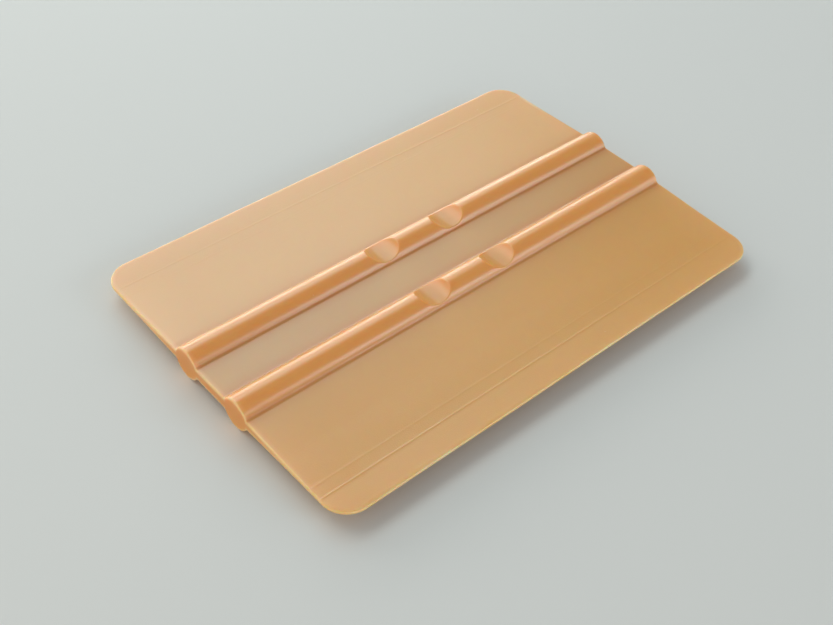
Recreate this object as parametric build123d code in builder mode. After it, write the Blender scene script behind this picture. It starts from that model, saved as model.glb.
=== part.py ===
"""Hand applicator card for vinyl film: one flexible moulding, the same above and below its mid-plane.

A stiff web runs down the middle between two round grip ribs. Outside the ribs the card thins
towards two working edges. Each rib has two shallow finger scoops above and two below.

Frame: the card lies flat on its ribs, +Z up, origin on the surface it lies on, under its centre.
+X runs along the ribs and the working edges, +Y towards one working edge. Sizes in millimetres.
"""

from build123d import *
import os

# Plan of the card
card_length = 101.6  # along the ribs, 4 in
card_width = 69.85  # from one working edge to the other, 2 3/4 in
corner_radius = 5.0

# Grip ribs: round beads that stand out equally above and below the sheet
rib_diameter = 6.35
rib_spacing = 14.2  # centre to centre
rib_cove_radius = 0.8  # hollow curve where a rib meets the sheet

# Thickness of the sheet, from the middle out to a working edge
web_thickness = 2.5  # even, between the ribs
wing_root_thickness = 2.0  # just outside the ribs
wing_mid_thickness = 1.26
blend_thickness = 0.86
lip_thickness = 0.75  # even, along the working edge

# Widths of the bands of a wing, from a working edge inwards
lip_width = 5.5
blend_width = 2.5
outer_taper_width = 7.0

# Finger scoops: hollows across the ribs
scoop_spacing = 16.0  # centre to centre along a rib
scoop_length = 6.9  # along the rib, at its crest
scoop_depth = 1.45  # below the crest

# Rounding of moulded edges
rim_radius = 0.3  # all round the card and the ends of the ribs
scoop_rim_radius = 0.3

# Worked out from the sizes above
rib_radius = rib_diameter / 2
rib_offset = rib_spacing / 2
wing_root_offset = rib_offset + rib_radius + rib_cove_radius
half_width = card_width / 2
lip_offset = half_width - lip_width
blend_offset = lip_offset - blend_width
mid_offset = blend_offset - outer_taper_width
# A scoop is part of a cylinder whose axis runs across the card, above the rib's crest
scoop_radius = (scoop_length**2 / 4 + scoop_depth**2) / (2 * scoop_depth)
scoop_axis_height = rib_radius - scoop_depth + scoop_radius  # from the mid-plane

# Both planes have their origin at the height of the sheet's mid-plane, and sketch y along +Z.
# The section is drawn on one end and looks along +X; the scoops on one edge, looking along -Y.
section_plane = Plane(origin=(-card_length / 2, 0, rib_radius), x_dir=(0, 1, 0), z_dir=(1, 0, 0))
scoop_plane = Plane(origin=(0, half_width, rib_radius), x_dir=(1, 0, 0), z_dir=(0, -1, 0))

with BuildPart() as applicator_card:
    # The section across the card, run along its length
    with BuildSketch(section_plane) as section:
        # A quarter of the sheet, from the middle of the web out to a working edge
        with BuildLine():
            Polyline(
                (0, 0),
                (0, web_thickness / 2),
                (rib_offset, web_thickness / 2),
                (rib_offset, wing_root_thickness / 2),
                (wing_root_offset, wing_root_thickness / 2),
                (mid_offset, wing_mid_thickness / 2),
                (blend_offset, blend_thickness / 2),
                (lip_offset, lip_thickness / 2),
                (half_width, lip_thickness / 2),
                (half_width, 0),
                close=True,
            )
        make_face()
        mirror(about=Plane.XZ)
        mirror(about=Plane.YZ)
        # The ribs, and the cove on each side of each rib
        with Locations((-rib_offset, 0), (rib_offset, 0)):
            Circle(rib_radius)
        rib_roots = section.vertices().filter_by(lambda corner: abs(corner.X) < wing_root_offset - 1e-3)
        fillet(rib_roots, rib_cove_radius)
    extrude(amount=card_length)

    # The plan, which rounds the four corners
    with BuildSketch():
        RectangleRounded(card_length, card_width, corner_radius)
    extrude(amount=rib_diameter, mode=Mode.INTERSECT)

    # The rim all round, above and below, with the ends of the ribs
    walls = applicator_card.faces().filter_by(lambda face: abs(face.normal_at().Z) < 1e-6)
    fillet(walls.edges().filter_by(Axis.Z, reverse=True), rim_radius)

    # The scoops, cut across both ribs from above and below
    with BuildSketch(scoop_plane):
        with GridLocations(scoop_spacing, 2 * scoop_axis_height, 2, 2):
            Circle(scoop_radius)
    extrude(amount=card_width, mode=Mode.SUBTRACT)
    fillet(applicator_card.edges(Select.LAST), scoop_rim_radius)

applicator_card.part.label = "applicator_card"

os.makedirs("parts", exist_ok=True)
export_step(applicator_card.part, "parts/applicator_card.step")
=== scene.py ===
import bmesh
import bpy
import math
import numpy as np
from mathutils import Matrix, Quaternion, Vector


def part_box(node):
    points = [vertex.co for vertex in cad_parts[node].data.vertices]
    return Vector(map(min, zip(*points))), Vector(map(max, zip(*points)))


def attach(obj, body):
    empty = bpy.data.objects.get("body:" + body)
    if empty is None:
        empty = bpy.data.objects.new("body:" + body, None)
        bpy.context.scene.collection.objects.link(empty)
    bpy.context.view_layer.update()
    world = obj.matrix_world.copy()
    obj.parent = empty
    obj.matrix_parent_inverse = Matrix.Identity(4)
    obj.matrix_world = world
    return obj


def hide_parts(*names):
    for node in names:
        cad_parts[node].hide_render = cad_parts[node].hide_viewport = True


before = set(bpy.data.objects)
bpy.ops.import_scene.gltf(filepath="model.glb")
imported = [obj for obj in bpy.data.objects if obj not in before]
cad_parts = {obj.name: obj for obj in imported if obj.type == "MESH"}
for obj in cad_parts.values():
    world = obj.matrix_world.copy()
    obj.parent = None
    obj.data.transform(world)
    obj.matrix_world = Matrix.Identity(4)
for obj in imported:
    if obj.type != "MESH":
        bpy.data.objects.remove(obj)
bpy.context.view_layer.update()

# %% [markdown]
# # A card squeegee for smoothing vinyl film
#
# The real object is one injection moulding: a flat web down the middle, a round grip rib on each
# side of it, and two wings that thin towards the working edges. There is nothing to assemble, so
# all of the work here goes into the shape of that one surface and into the plastic it is made of.
#
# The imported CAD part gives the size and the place. Its surface is cut into long thin triangles,
# which is fine for measuring and poor for close looks, so this lesson builds the same moulding
# again as even four-sided faces and lets it stand for the CAD node.

# %% size of the card
mm = 0.001
low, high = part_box("applicator_card")
card_length, card_width, card_height = high - low
print("card, mm:", [round(side / mm, 2) for side in (card_length, card_width, card_height)])

# %% [markdown]
# ## The view
#
# A hand-held tool is looked at from arm's length, from the front left and well above, so that the
# ends of the ribs and both wings show. The camera is given the way it would be set up by hand: what
# it points at, how far off it stands, how high, from which side, and how much it is tilted.
# Angles and a distance are easier to correct one at a time than a place and three turns.

# %% camera
view_target = Vector((-11.93 * mm, -7.54 * mm, card_height / 2))
view_distance = 210.8 * mm
view_bearing = math.radians(-134.06)
view_height = math.radians(44.47)
view_roll = math.radians(4.2)
lens_length = 51.01
sensor_width = 36.0
nearest_seen = 5 * mm


def direction(bearing, height):
    """A unit vector from a bearing round the card and a height above the table, in radians."""
    level_part = math.cos(height)
    return Vector((level_part * math.cos(bearing), level_part * math.sin(bearing), math.sin(height)))


towards_camera = direction(view_bearing, view_height)
camera = bpy.data.objects.new("camera", bpy.data.cameras.new("camera"))
camera.data.lens = lens_length
camera.data.sensor_width = sensor_width
camera.data.clip_start = nearest_seen
camera.location = view_target + towards_camera * view_distance
level = towards_camera.to_track_quat("Z", "Y")
camera.rotation_mode = "QUATERNION"
camera.rotation_quaternion = level @ Quaternion((0, 0, 1), view_roll)
bpy.context.scene.collection.objects.link(camera)
bpy.context.scene.camera = camera
print("camera, mm:", [round(place / mm, 1) for place in camera.location])

# %% [markdown]
# ## The section across the card
#
# Cut the card across and every slice is the same: half a web, a cove, a round rib, another cove,
# and a wing that thins in flat bands to an even lip. Mouldings like this are drawn as a section
# and swept, and a mesh can be too. The section is a function of an inset, because the rounding of
# the card's outer edge is the same section again, a little smaller each time.

# %% sizes of the section
rib_radius = card_height / 2
rib_offset = 7.1 * mm
cove_radius = 0.8 * mm
web_half = 1.25 * mm
root_half = 1.0 * mm
rim_radius = 0.3 * mm
corner_radius = 5.0 * mm
core_half_width = card_width / 2 - corner_radius
core_half_length = card_length / 2 - corner_radius
wing_root = rib_offset + rib_radius + cove_radius
print("a wing starts, mm from the middle:", round(wing_root / mm, 2))

# %% thickness of a wing
# Bands of a wing: how far in from the working edge each ends, and half the thickness there
wing_bands = [(15.0 * mm, 0.63 * mm), (8.0 * mm, 0.43 * mm), (5.5 * mm, 0.375 * mm), (0.0, 0.375 * mm)]
band_offsets = [wing_root] + [card_width / 2 - inwards for inwards, half in wing_bands]
band_halves = [root_half] + [half for inwards, half in wing_bands]


def half_thickness(offset):
    """Half the thickness of a wing at a distance from the middle of the card."""
    return np.interp(offset, band_offsets, band_halves)


print("lip, mm:", 2 * half_thickness(card_width / 2) / mm)

# %% [markdown]
# A rib and its coves are parts of circles that touch. The angle where a cove leaves the rib comes
# from the triangle between the two centres, so the surface has no kink there and a highlight runs
# over it unbroken. Points typed in by eye would leave a dent that the eye finds at once.

# %% arcs of the section


def arc(centre, radius, start, end, steps):
    """Points along part of a circle, from one angle to another in degrees."""
    turn = np.radians(np.linspace(start, end, steps))
    return np.stack([centre[0] + radius * np.cos(turn), centre[1] + radius * np.sin(turn)], axis=1)


def cove_place(sheet_half):
    """How far a cove's centre stands from the rib's, its height, and the angle where the two touch."""
    height = sheet_half + cove_radius
    reach = math.sqrt((rib_radius + cove_radius) ** 2 - height ** 2)
    return reach, height, math.degrees(math.atan2(height, reach))


web_cove_reach, web_cove_height, web_touch = cove_place(web_half)
root_cove_reach, root_cove_height, root_touch = cove_place(root_half)
print("a rib's round part, degrees:", round(180 - web_touch - root_touch, 1))

# %% [markdown]
# Where two bands of a wing meet, a fine raised line runs the whole length of the card, most likely
# left by the cutter that shaped the mould. It stands up by less than a hair's thickness and only
# shows where light skims it. A bump texture would have to find the line's place again in a node
# tree, so the wing gets a few rows of points close together at each line instead.

# %% rows of a wing
mould_lines = [card_width / 2 - inwards for inwards in (5.5 * mm, 8.0 * mm, 15.0 * mm)]
line_heights = [0.024 * mm, 0.012 * mm, 0.008 * mm]
line_width = 0.15 * mm
line_steps = (-2.8, -1.8, -1.1, -0.5, 0, 0.5, 1.1, 1.8, 2.8)
clear_of_line = 3.2 * line_width
even_rows = 24
least_row_gap = 0.1 * mm


def wing_rows():
    """Places across a wing: even rows, with close ones at each mould line."""
    rows = list(np.linspace(wing_root, core_half_width, even_rows))
    for line in mould_lines:
        rows = [row for row in rows if abs(row - line) > clear_of_line]
        rows += [line + step * line_width for step in line_steps]
    kept = sorted(row for row in rows if row < core_half_width - least_row_gap)
    return np.array(kept + [core_half_width])


def wing_surface(offset):
    """Height of a wing's face above the mid-plane, with the fine raised lines left by the mould."""
    face = half_thickness(offset)
    for line, height in zip(mould_lines, line_heights):
        face = face + height * np.exp(-((offset - line) / line_width) ** 2)
    return face


print("rows in a wing:", len(wing_rows()))

# %% [markdown]
# The half section strings these pieces together, from the middle of the web to the start of the
# rounded corners. Round parts get many points and flat parts few. The left half is the same list
# turned round, so the card is symmetrical without a mirror modifier.

# %% the half section and the whole
web_steps = 7
cove_steps = 9
rib_steps = 56


def half_section(inset):
    """Points from the middle of the web out to the start of the rounded corners."""
    web_end = rib_offset - web_cove_reach
    web_places = np.linspace(0, web_end, web_steps)[:-1]
    web = np.stack([web_places, np.full(len(web_places), web_half - inset)], axis=1)
    web_centre = (web_end, web_cove_height)
    web_cove = arc(web_centre, cove_radius + inset, -90, -web_touch, cove_steps)[:-1]
    rib = arc((rib_offset, 0), rib_radius - inset, 180 - web_touch, root_touch, rib_steps)
    root_centre = (rib_offset + root_cove_reach, root_cove_height)
    root_cove = arc(root_centre, cove_radius + inset, 180 + root_touch, 270, cove_steps)[1:]
    rows = wing_rows()
    wing = np.stack([rows, wing_surface(rows) - inset], axis=1)
    return np.concatenate([web, web_cove, rib, root_cove, wing])


def full_section(inset):
    """The upper half of the section, from one corner line to the other."""
    right = half_section(inset)
    left = right[:0:-1] * np.array([-1, 1])
    return np.concatenate([left, right])


section = full_section(0)
print("points in the section:", len(section))

# %% [markdown]
# ## The finger scoops
#
# Four shallow hollows are scooped out of the ribs, each part of a cylinder that lies across the
# card. A cut with a boolean would leave ragged faces along its rim. Both surfaces are simple
# heights here, so the scoop is taken as the lower of the two, blended over a short distance that
# makes the softly rounded rim of a moulded edge.

# %% scoops
scoop_places = (-8.0 * mm, 8.0 * mm)
scoop_length = 6.9 * mm
scoop_depth = 1.45 * mm
scoop_rim = 0.10 * mm
scoop_radius = (scoop_length ** 2 / 4 + scoop_depth ** 2) / (2 * scoop_depth)
scoop_axis = rib_radius - scoop_depth + scoop_radius


def softly_lower(first, second, blend):
    """The lower of two heights, with the crease between them rounded off."""
    share = np.clip(0.5 + 0.5 * (second - first) / blend, 0, 1)
    return second + (first - second) * share - blend * share * (1 - share)


def scooped(along, height):
    """Height of the ribs' surface after the scoops are taken out."""
    for place in scoop_places:
        aside = np.abs(along - place)
        inside = np.sqrt(np.maximum(scoop_radius ** 2 - aside ** 2, 0))
        height = softly_lower(height, scoop_axis - inside, scoop_rim)
    return height


print("scoop radius, mm:", round(scoop_radius / mm, 2))

# %% [markdown]
# ## From section to surface
#
# Seen from above, the card is a plus-shaped core with four quarter-round corners. Each corner is a
# fan about its own centre, so the faces follow the round outline and the outer edge is evenly
# divided. The columns stand close together only where the scoops are.

# %% columns and corners
scoop_reach = 4.2 * mm
middle_step = 0.6 * mm
fine_step = 0.15 * mm
end_step = 0.9 * mm
corner_rings = 7
corner_steps = 14


def stretch(start, end, step):
    """Even places from start up to, but without, end."""
    return np.linspace(start, end, max(2, round(abs(end - start) / step)), endpoint=False)


scoop_start = scoop_places[1] - scoop_reach
scoop_end = scoop_places[1] + scoop_reach
right_columns = np.concatenate([
    stretch(0, scoop_start, middle_step),
    stretch(scoop_start, scoop_end, fine_step),
    stretch(scoop_end, core_half_length, end_step),
    [core_half_length],
])
columns = np.concatenate([-right_columns[:0:-1], right_columns])
rings = np.linspace(0, corner_radius - rim_radius, corner_rings + 1)[1:]
corner_turns = np.linspace(0, math.pi / 2, corner_steps + 1)
print("columns:", len(columns))

# %% [markdown]
# A thin sheet never cools quite flat. Three slow waves, each shorter and lower than the one before,
# lift the wings by a few hundredths of a millimetre. That is less than a fingertip feels, and enough
# to bend a reflection. A noise texture could do it, but a formula can be used again for the rim.

# %% slight unevenness of a real moulding
waves = [(61 * mm, 0.030 * mm), (34 * mm, 0.014 * mm), (19 * mm, 0.006 * mm)]
first_turn = 1.1
turn_between_waves = 2.3
wave_slant = 0.35
wave_growth = 1.5


def unevenness(along, across):
    """Lift of the sheet: nothing at the ribs, most at the working edges."""
    share = np.clip((np.abs(across) - wing_root) / (card_width / 2 - wing_root), 0, 1) ** wave_growth
    wave = 0
    for number, (length, height) in enumerate(waves):
        turn = first_turn + turn_between_waves * number
        wave = wave + height * np.sin(2 * math.pi * (along + wave_slant * across) / length + turn)
    return share * wave


print("most lift, mm:", round(sum(height for length, height in waves) / mm, 3))

# %% [markdown]
# Each part of the plan is a grid of points, and every grid is added twice: once above the
# mid-plane and once as its mirror image below. The scoops are on both faces, because the moulding
# can be used either way up. Neighbouring grids share the points on their borders.

# %% grids of the two faces
patches = []


def add_patch(along, across, height):
    """One grid of the upper surface, and its mirror image below the mid-plane."""
    lift = unevenness(along, across) + rib_radius
    patches.append(np.stack([along, across, lift + height], axis=-1))
    patches.append(np.stack([along, across, lift - height], axis=-1)[::-1])


reach = np.concatenate([-(core_half_length + rings)[::-1], columns, core_half_length + rings])
along, across = np.meshgrid(reach, section[:, 0])
height = scooped(along, np.repeat(section[:, 1:], len(reach), axis=1))
add_patch(along, across, height)

for side in (-1, 1):
    offsets = side * (core_half_width + np.concatenate([[0], rings]))
    along, across = np.meshgrid(columns, offsets[::side])
    add_patch(along, across, wing_surface(np.abs(across)))

for end in (-1, 1):
    for side in (-1, 1):
        turn, ring = np.meshgrid(corner_turns, np.concatenate([[0], rings]))
        along = end * (core_half_length + ring * np.cos(turn))
        across = side * (core_half_width + ring * np.sin(turn))
        add_patch(along, across, wing_surface(np.abs(across)))

print("patches:", len(patches))

# %% [markdown]
# ## The rim
#
# All round the outline, and round the ends of the ribs, the moulding's edge is rounded by a third
# of a millimetre. Each step of that rounding is the section at a larger inset, on an outline at a
# smaller one. A bevel modifier would have to cope with coves, ribs and corners at once.

# %% the outline, once round the card


def outline(inwards, inset):
    """Points once round the card: the outline moved inwards, on the section moved in by an inset."""
    ends = full_section(inset)
    half_length = card_length / 2 - inwards
    right = np.stack([np.full(len(ends), half_length), ends[:, 0], ends[:, 1]], axis=1)
    left = right[::-1] * np.array([-1, 1, 1])
    edge = half_thickness(core_half_width) - inset
    corner = corner_radius - inwards
    turn = corner_turns[1:-1]
    round_part = np.stack([core_half_length + corner * np.cos(turn),
                           core_half_width + corner * np.sin(turn),
                           np.full(len(turn), edge)], axis=1)
    rear = np.stack([columns[::-1], np.full(len(columns), card_width / 2 - inwards),
                     np.full(len(columns), edge)], axis=1)
    return np.concatenate([
        right, round_part, rear, round_part[::-1] * np.array([-1, 1, 1]),
        left, round_part * np.array([-1, -1, 1]), rear[::-1] * np.array([1, -1, 1]),
        round_part[::-1] * np.array([1, -1, 1]), right[:1],
    ])


print("points round the card:", len(outline(0, 0)))

# %% the rounding
rim_steps = 6
rim = []
for step in range(rim_steps + 1):
    turn = math.pi / 2 * step / rim_steps
    rim.append(outline(rim_radius * (1 - math.sin(turn)), rim_radius * (1 - math.cos(turn))))
rim = np.array(rim)
add_patch(rim[..., 0], rim[..., 1], rim[..., 2])
print("rows in the rounding:", len(rim))

# %% [markdown]
# Between the upper and the lower rounding the side is upright. Its rows are close together next to
# the rounding, so the smooth shading changes within a tenth of the height and the flat stays flat.

# %% the upright side
wall_shares = np.array([1, 0.94, 0.8, 0.4, -0.4, -0.8, -0.94, -1])[:, None]
edge = rim[-1][None]
lift = unevenness(edge[..., 0], edge[..., 1]) + rib_radius
wall_heights = lift + wall_shares * edge[..., 2]
wall_along = np.broadcast_to(edge[..., 0], wall_heights.shape)
wall_across = np.broadcast_to(edge[..., 1], wall_heights.shape)
patches.append(np.stack([wall_along, wall_across, wall_heights], axis=-1))
print("rows up the side:", len(wall_heights))

# %% [markdown]
# ## One closed mesh
#
# The grids are sewn into one skin by merging the points they share. A moulding has no gaps, so the
# print says how many edges are left open, which has to be none, and the volume, which can be
# compared with the CAD part's.

# %% the mesh
same_point = 0.002 * mm


def joined(grids, name):
    """One closed mesh from grids of points that share their borders."""
    shape = bmesh.new()
    for grid in grids:
        rows, steps, _ = grid.shape
        points = [[shape.verts.new(point) for point in row] for row in grid]
        for row in range(rows - 1):
            for step in range(steps - 1):
                shape.faces.new((points[row][step], points[row][step + 1],
                                 points[row + 1][step + 1], points[row + 1][step]))
    bmesh.ops.remove_doubles(shape, verts=shape.verts, dist=same_point)
    bmesh.ops.recalc_face_normals(shape, faces=shape.faces)
    mesh = bpy.data.meshes.new(name)
    shape.to_mesh(mesh)
    open_edges = sum(1 for edge in shape.edges if not edge.is_manifold)
    print(name, "faces:", len(shape.faces), "open edges:", open_edges,
          "volume, mm3:", round(shape.calc_volume() / mm ** 3))
    shape.free()
    mesh.shade_smooth()
    return mesh


card = bpy.data.objects.new("card_moulding", joined(patches, "card_moulding"))
bpy.context.scene.collection.objects.link(card)
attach(card, "root")
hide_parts("applicator_card")

# %% [markdown]
# ## Marks that the material needs
#
# Gold-filled plastic lets light through where it is thin and holds it where it is thick, and the
# material paints that light into the colour: paler thin wings, deeper thick parts, a glowing rim,
# and painted shade where two surfaces meet. A node tree can't measure thickness, but mesh code can,
# so each point of the mesh carries a few numbers from 0 to 1. First come two measures that the marks
# are made from: how high the section stands at a place, and how far the place is from the card's
# outline.

# %% measures of a place on the card


def section_height(across):
    """Height of the whole section above the mid-plane, ribs included."""
    offset = np.abs(across)
    sheet = np.where(offset < rib_offset, web_half, half_thickness(offset))
    rib = np.sqrt(np.maximum(rib_radius ** 2 - (offset - rib_offset) ** 2, 0))
    return np.maximum(sheet, rib)


def from_outline(along, across):
    """Distance inwards from the card's rounded outline."""
    past_end = np.abs(along) - core_half_length
    past_side = np.abs(across) - core_half_width
    round_part = np.hypot(np.maximum(past_end, 0), np.maximum(past_side, 0))
    return corner_radius - round_part - np.minimum(np.maximum(past_end, past_side), 0)


def bell(distance, width):
    """One at no distance, falling smoothly to nothing."""
    return np.exp(-(distance / width) ** 2)


def ramp(distance, start, end):
    """Nothing at start, one at end, even between."""
    return np.clip((distance - start) / (end - start), 0, 1)


print("rib's height, mm:", round(float(section_height(rib_offset)) / mm, 2))

# %% [markdown]
# Eight marks are enough. `rim` is the moulded edge, where a glow is painted and the edge rubs white,
# `thin` the outer part of a wing, painted paler, `worn` a short stretch of one end that has rubbed
# white, `web` the thick middle, painted darker, `foot` and `crease` the sheet and the cove beside a
# rib, where shade is painted, `rib` the rib's own round, and `end` the upright ends of thick parts,
# these two painted a deeper orange.

# %% numbers on the points of the card
thin_reach = 9 * mm
worn_middle = 26 * mm
crease_place = 3.08 * mm


def card_marks(points):
    """The numbers that the material reads, for each point of the card."""
    along, across = points[:, 0], points[:, 1]
    height = np.abs(points[:, 2] - rib_radius - unevenness(along, across))
    inwards = from_outline(along, across)
    sunk = section_height(across) - height
    beside_rib = np.abs(np.abs(across) - rib_offset)
    past_web = np.maximum(np.abs(across) - rib_offset + rib_radius, 0)
    on_wing = np.abs(across) >= wing_root
    return {
        # where the rim's painted glow goes; the rubbed wear further down uses it too
        "rim": bell(inwards, 0.28 * mm) * bell(sunk, 0.45 * mm),
        "thin": on_wing * ramp(inwards, thin_reach, 0) ** 1.5,
        "worn": (along > 0) * bell(inwards, 0.4 * mm) * bell(across - worn_middle, 4 * mm),
        "web": bell(past_web, 0.7 * mm),
        # where painted shade goes on the sheet at the foot of a rib
        "foot": ramp(beside_rib, 5.0 * mm, 3.5 * mm) * bell(height - web_half, 0.5 * mm),
        "rib": ramp(height, web_half, web_half + 1.2 * mm),
        # where painted shade goes in the cove beside a rib
        "crease": bell(beside_rib - crease_place, 0.24 * mm) * bell(height - web_half, 0.9 * mm),
        "end": bell(inwards, 0.05 * mm) * ramp(sunk, 0.35 * mm, 0.75 * mm),
    }


places = np.empty(3 * len(card.data.vertices))
card.data.vertices.foreach_get("co", places)
for name, values in card_marks(places.reshape(-1, 3)).items():
    numbers = card.data.attributes.new(name, "FLOAT", "POINT")
    numbers.data.foreach_set("value", values)
    print(name, "from", round(float(np.min(values)), 2), "to", round(float(np.max(values)), 2))

# %% [markdown]
# ## The gold plastic
#
# The finish is a satin, slightly translucent plastic with a fine gold pigment. The Principled
# shader does most of it, and nodes add what a flat colour lacks. Nodes are made by short helpers,
# because a tree written out socket by socket hides the few sums that matter.

# %% the material, and sums on numbers
plastic = bpy.data.materials.new("satin_gold_plastic")
plastic.use_nodes = True
plastic_nodes = plastic.node_tree.nodes
shader = plastic_nodes["Principled BSDF"]


def plug(socket, value):
    """Connect an output to an input, or set the input to a plain value."""
    if isinstance(value, bpy.types.NodeSocket):
        plastic.node_tree.links.new(value, socket)
    else:
        socket.default_value = value


def arithmetic(operation, first, second):
    """One sum on two numbers, any of which may come from another node."""
    sums = plastic_nodes.new("ShaderNodeMath")
    sums.operation = operation
    plug(sums.inputs[0], first)
    plug(sums.inputs[1], second)
    return sums.outputs[0]


def scaled(value, factor):
    """A number from another node, times a factor."""
    return arithmetic("MULTIPLY", value, factor)


def spread(value, low, high):
    """Stretch the part of a value between low and high over 0 to 1."""
    stretcher = plastic_nodes.new("ShaderNodeMapRange")
    plug(stretcher.inputs["Value"], value)
    stretcher.inputs["From Min"].default_value = low
    stretcher.inputs["From Max"].default_value = high
    return stretcher.outputs["Result"]


print("helpers ready for", plastic.name)

# %% [markdown]
# Patterns come from noise in the object's own coordinates, so they stay on the plastic when it is
# moved. `cloud` gives soft spots of a size in metres. `stretched` squeezes the coordinates along an
# axis, which draws the spots out the other way into streaks.

# %% clouds and streaks
coordinates = plastic_nodes.new("ShaderNodeTexCoord").outputs["Object"]


def stretched(factors):
    """The object's coordinates, stretched along each axis."""
    mapping = plastic_nodes.new("ShaderNodeMapping")
    plug(mapping.inputs["Vector"], coordinates)
    plug(mapping.inputs["Scale"], factors)
    return mapping.outputs["Vector"]


def cloud(size, detail, vector=coordinates):
    """Soft noise with spots of about the given size in metres."""
    noise = plastic_nodes.new("ShaderNodeTexNoise")
    plug(noise.inputs["Vector"], vector)
    plug(noise.inputs["Scale"], 1 / size)
    plug(noise.inputs["Detail"], detail)
    return noise.outputs["Fac"]


print("nodes so far:", len(plastic_nodes))

# %% [markdown]
# The melt carries its pigment in slow streaks along the card, and on top of that the surface is
# faintly mottled. Both are shares of a slightly darker gold, never a second colour.

# %% body colour
gold = (0.80, 0.42, 0.115, 1)
dark_gold = (0.75, 0.385, 0.11, 1)


def tinted(colour, tint, share):
    """A colour moved towards a tint by a share."""
    mixer = plastic_nodes.new("ShaderNodeMix")
    mixer.data_type = "RGBA"
    plug(mixer.inputs["Factor"], share)
    plug(mixer.inputs["A"], colour)
    plug(mixer.inputs["B"], tint)
    return mixer.outputs["Result"]


flow = spread(cloud(26 * mm, 3.0, stretched((1.0, 2.2, 1.0))), 0.1, 0.9)
mottle = spread(cloud(1.6 * mm, 3.0), 0.1, 0.9)
body = tinted(gold, dark_gold, arithmetic("ADD", scaled(flow, 0.35), scaled(mottle, 0.25)))
print("nodes so far:", len(plastic_nodes))

# %% [markdown]
# The marks on the mesh now tint that gold, and these tints are painted light and shade. Light leaves
# a thin lip sooner, so the lip is painted paler, and the rim is painted a yellow glow as if it caught
# that light. In thick places light goes deeper and comes back more orange, so the ribs and their ends
# are painted deeper and the web darker. The foot and the cove beside each rib get painted shade. The
# order matters: a later tint lies over the earlier ones.

# %% tints by place, painted light and shade
tints = [
    # painted light: the thin outer wing paler, as where light passes through the plastic
    ("thin", (0.86, 0.48, 0.18, 1), 0.45),
    # painted darker: the web between the ribs
    ("web", (0.69, 0.36, 0.11, 1), 0.65),
    # painted shade on the sheet at the foot of each rib
    ("foot", (0.72, 0.27, 0.05, 1), 0.55),
    # painted light: the ribs a deeper orange, as where light goes deep into thick plastic
    ("rib", (0.86, 0.375, 0.085, 1), 0.8),
    # painted shade in the cove beside each rib
    ("crease", (0.66, 0.23, 0.06, 1), 0.3),
    # painted light: the upright ends of thick parts a deeper orange, without the sheen of the top
    ("end", (0.75, 0.28, 0.015, 1), 0.8),
    # painted glow: the rim turned pale yellow, as if it caught the light
    ("rim", (0.92, 0.61, 0.24, 1), 0.6),
]


def mark(name):
    """A number that the mesh carries."""
    reader = plastic_nodes.new("ShaderNodeAttribute")
    reader.attribute_name = name
    return reader.outputs["Fac"]


for name, tint, share in tints:
    body = tinted(body, tint, scaled(mark(name), share))
print("tints by place:", len(tints))

# %% [markdown]
# Use leaves its traces. The edge rubs white in patches and most of all along one short stretch,
# and dirt and dust settle as single specks. Voronoi cells place the specks: one near the middle of
# a cell, and only in the cells whose random colour is high enough.

# %% wear and specks
bare_white = (0.95, 0.82, 0.62, 1)
dirt = (0.16, 0.09, 0.05, 1)
dust = (0.95, 0.86, 0.70, 1)
share_without_speck = 0.55


def specks(spacing, size):
    """Sparse round specks, one in a few cells of the given spacing."""
    cells = plastic_nodes.new("ShaderNodeTexVoronoi")
    plug(cells.inputs["Vector"], coordinates)
    plug(cells.inputs["Scale"], 1 / spacing)
    near = spread(cells.outputs["Distance"], size / spacing, 0.5 * size / spacing)
    chosen = plastic_nodes.new("ShaderNodeSeparateColor")
    plug(chosen.inputs["Color"], cells.outputs["Color"])
    return scaled(near, arithmetic("GREATER_THAN", chosen.outputs["Red"], share_without_speck))


rubbed = spread(cloud(7 * mm, 3.0, stretched((1.0, 0.2, 1.0))), 0.4, 0.75)
body = tinted(body, bare_white, scaled(mark("rim"), scaled(rubbed, 0.5)))
body = tinted(body, bare_white, scaled(mark("worn"), 0.8))
body = tinted(body, dirt, scaled(specks(7.0 * mm, 0.16 * mm), 0.5))
body = tinted(body, dust, scaled(specks(4.1 * mm, 0.13 * mm), 0.35))
plug(shader.inputs["Base Color"], body)
print("nodes so far:", len(plastic_nodes))

# %% [markdown]
# A fairly low roughness keeps the window's reflection broad and soft. Fingers leave slightly duller
# smears. Handling adds hair-fine scratches, mostly along the card, because that is how the edge is
# pushed and wiped: noise squeezed hard across the card leaves long thin streaks.

# %% gloss
clean_roughness = 0.28
streak_factors = (90.0, 5200.0, 900.0)
scratches = spread(cloud(1.0, 2.0, stretched(streak_factors)), 0.66, 0.74)
smears = cloud(9 * mm, 2.0)
duller = arithmetic("ADD", scaled(smears, 0.06), scaled(scratches, 0.04))
plug(shader.inputs["Roughness"], arithmetic("ADD", duller, clean_roughness))
print("roughness from", clean_roughness)

# %% [markdown]
# Moulds like this are often eroded to a fine satin, which the plastic copies as a texture a quarter
# of a millimetre across, over a broader orange peel. Both are far too fine to model, so they are a
# bump, and the scratches dent it a little.

# %% relief
relief_strength = 0.55
relief_depth = 0.020 * mm
satin = cloud(0.24 * mm, 1.0)
orange_peel = cloud(2.6 * mm, 1.0)
relief = arithmetic("ADD", satin, scaled(orange_peel, 0.9))
relief = arithmetic("SUBTRACT", relief, scaled(scratches, 0.5))
bump = plastic_nodes.new("ShaderNodeBump")
plug(bump.inputs["Strength"], relief_strength)
plug(bump.inputs["Distance"], relief_depth)
plug(bump.inputs["Height"], relief)
plug(shader.inputs["Normal"], bump.outputs["Normal"])
print("relief, mm:", relief_depth / mm)

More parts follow.
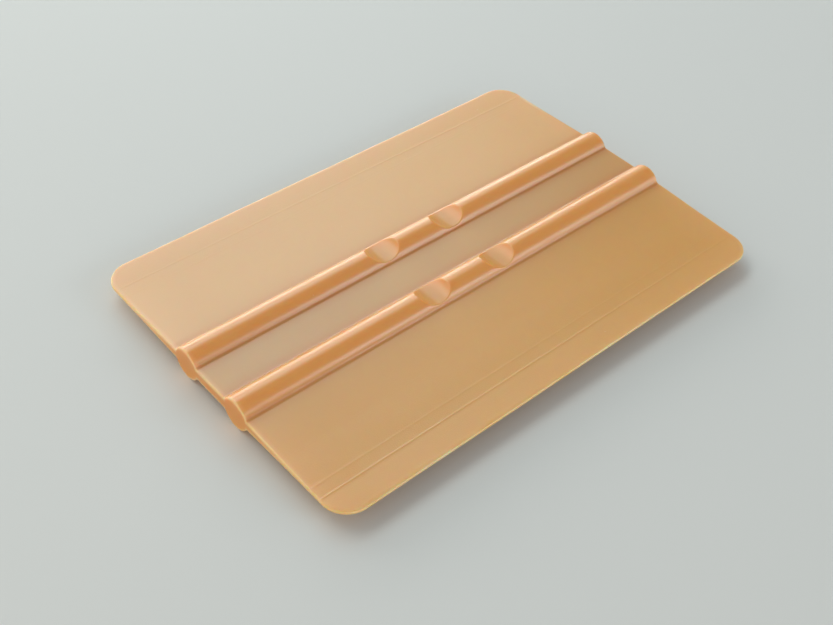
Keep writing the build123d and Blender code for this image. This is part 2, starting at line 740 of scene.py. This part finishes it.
# %% [markdown]
# Light enters this plastic, spreads by about a millimetre and comes out redder than it went in,
# because the pigment takes the blue first. Subsurface scattering does that. These values are the
# same all over the card, so they are set on the shader itself.

# %% depth of the plastic
shader.inputs["IOR"].default_value = 1.8
shader.inputs["Subsurface Weight"].default_value = 1.0
shader.inputs["Subsurface Radius"].default_value = (1.0, 0.42, 0.14)
shader.inputs["Subsurface Scale"].default_value = 1.5 * mm
card.data.materials.append(plastic)
print("plastic nodes:", len(plastic_nodes))

# %% [markdown]
# ## The table
#
# The card lies on its two ribs on a plain pale surface, which also throws a little light up under
# the wings. A flat square a few metres wide is enough, because the camera looks down at the card
# and never sees the square's edges.

# %% floor
floor_half = 2.0
pale_grey = (0.74, 0.73, 0.71, 1)
floor_roughness = 0.7
corners = [(-floor_half, -floor_half, 0), (floor_half, -floor_half, 0),
           (floor_half, floor_half, 0), (-floor_half, floor_half, 0)]
floor_mesh = bpy.data.meshes.new("floor")
floor_mesh.from_pydata(corners, [], [(0, 1, 2, 3)])
floor = bpy.data.objects.new("floor", floor_mesh)
bpy.context.scene.collection.objects.link(floor)
paint = bpy.data.materials.new("floor_paint")
paint.use_nodes = True
floor_shader = paint.node_tree.nodes["Principled BSDF"]
floor_shader.inputs["Base Color"].default_value = pale_grey
floor_shader.inputs["Roughness"].default_value = floor_roughness
floor_mesh.materials.append(paint)
print("floor, m:", 2 * floor_half)

# %% [markdown]
# ## The light
#
# A moulding is judged by how a broad soft light runs over it. A large window stands behind the
# card, cooler at the top where the sky shows and brightest low down, so the ribs carry a long
# highlight and the wing nearest to it takes a pale sheen. Panels to the left of it light the backs
# of the ribs and the right-hand sides of the scoops. Low panels all round stand for the walls of a
# room: they reach under the edges and make the thin rim glow, and a small cool one draws the pale
# line along the front of each rib. The brightness of a panel is given for each square metre of it,
# so a panel can be made larger without changing how it looks in a reflection.

# %% lights
panel_distance = 1.2


def panel(name, bearing, height, size, brightness, colour):
    """A flat soft light that faces the card, placed by its bearing and its height in degrees."""
    light = bpy.data.lights.new(name, "AREA")
    light.shape = "RECTANGLE"
    light.size, light.size_y = size
    light.energy = math.pi * size[0] * size[1] * brightness
    light.color = colour
    place = direction(math.radians(bearing), math.radians(height))
    lamp = bpy.data.objects.new(name, light)
    lamp.location = place * panel_distance
    lamp.rotation_euler = place.to_track_quat("Z", "Y").to_euler()
    lamp.visible_camera = False
    bpy.context.scene.collection.objects.link(lamp)
    print(name, "watts:", round(light.energy, 1))


panel("window", 60, 36, size=(0.78, 0.75), brightness=1.42, colour=(0.80, 1.0, 1.0))
panel("window_sky", 66, 44, size=(0.5, 0.4), brightness=1.1, colour=(0.3, 0.75, 1.0))
panel("window_low", 64, 9, size=(0.8, 0.38), brightness=4.2, colour=(0.97, 1.0, 0.98))
panel("window_left", 102, 14, size=(0.6, 0.6), brightness=3.5, colour=(1.0, 1.0, 0.93))
panel("ceiling_left", 105, 54, size=(0.8, 0.45), brightness=2.6, colour=(0.95, 1.0, 0.96))
panel("wall_behind", 125, 4, size=(0.5, 0.35), brightness=3.6, colour=(1.0, 0.99, 0.9))
panel("room_left", 160, 35, size=(1.1, 0.8), brightness=0.4, colour=(1.0, 0.95, 0.8))
panel("wall_left", 190, 8, size=(1.4, 0.35), brightness=1.4, colour=(1.0, 0.96, 0.8))
panel("wall_front", 250, 10, size=(1.1, 0.45), brightness=2.0, colour=(1.0, 1.0, 0.9))
panel("wall_right", 318, 10, size=(0.8, 0.45), brightness=1.7, colour=(0.94, 1.0, 0.96))
panel("low_strip", 301, 23, size=(0.45, 0.3), brightness=3.6, colour=(0.8, 1.0, 1.15))

# %% [markdown]
# What the panels leave out is the dim, even light of the rest of the room. It comes from the world,
# and the Standard view keeps the colours as they were mixed.

# %% the rest of the room
room_light = 0.28
room = bpy.data.worlds.new("room")
room.use_nodes = True
background = room.node_tree.nodes["Background"]
background.inputs["Color"].default_value = (1, 1, 1, 1)
background.inputs["Strength"].default_value = room_light
bpy.context.scene.world = room
bpy.context.scene.view_settings.view_transform = "Standard"
print("room light:", room_light)
